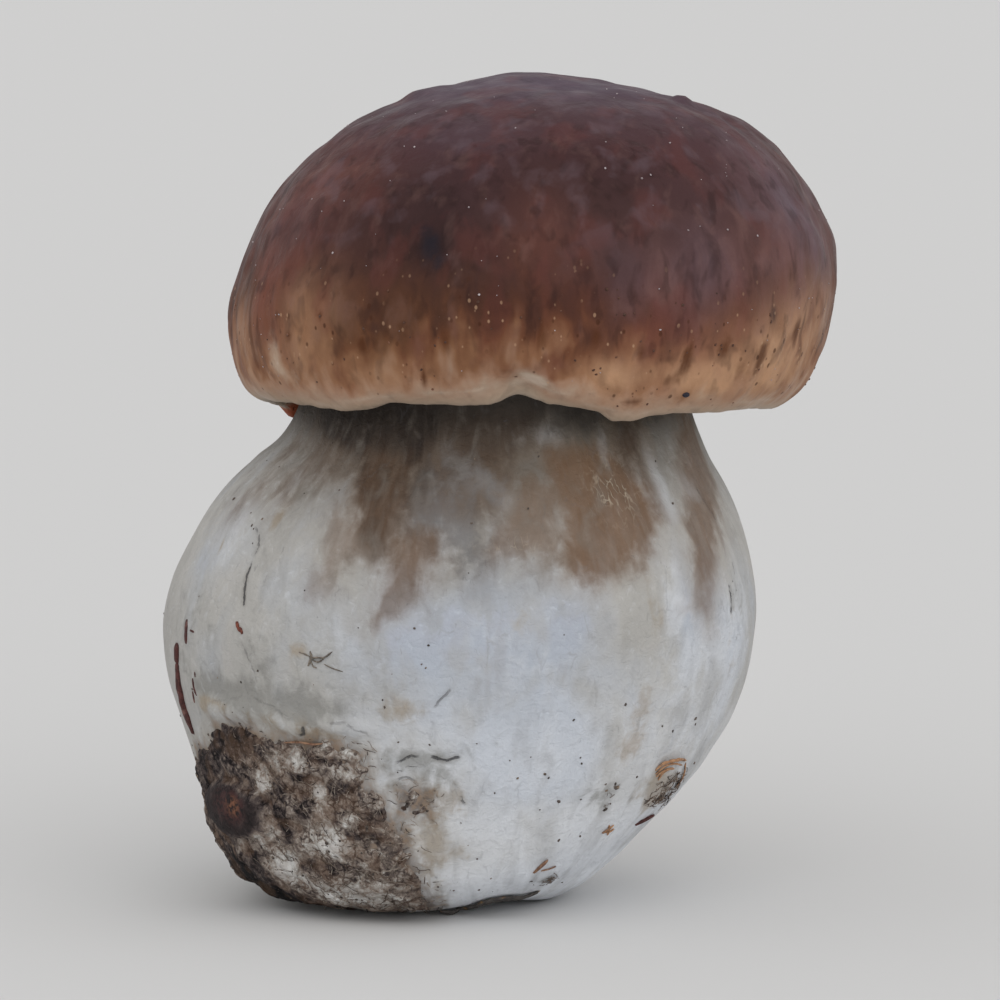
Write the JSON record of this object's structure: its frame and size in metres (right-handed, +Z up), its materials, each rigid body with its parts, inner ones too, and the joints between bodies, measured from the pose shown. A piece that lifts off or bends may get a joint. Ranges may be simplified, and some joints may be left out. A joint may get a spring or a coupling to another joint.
{
  "type": "cep mushroom",
  "caption": "Young cep mushroom with a brown domed cap on a stout pale swollen stem, earth on its foot, for dressing a table or forest scene.",
  "frame": {"origin": "middle of the small flat spot under the foot that it rests on", "axes": "+Z up through the stem, +X to the right seen from the front, where the cap sits off the foot, +Y to the back"},
  "size_m": [0.096, 0.0837, 0.1172],
  "materials": {
    "mushroom_skin": "matt",
    "forest_earth": "matt",
    "bark": "matt",
    "dead_leaf": "matt",
    "needle": "satin",
    "twig": "matt"
  },
  "bodies": {
    "root": {"mushroom": "mushroom_skin", "earth_crust": "forest_earth", "earth_patch": "forest_earth", "bark_strip": "bark", "bark_sliver": "bark", "bark_fleck": "bark", "leaf_curl": "dead_leaf", "leaf_chip": "dead_leaf", "foot_needle": "needle", "earth_needle": "needle", "twiglet": "twig"}
  },
  "joints": []
}
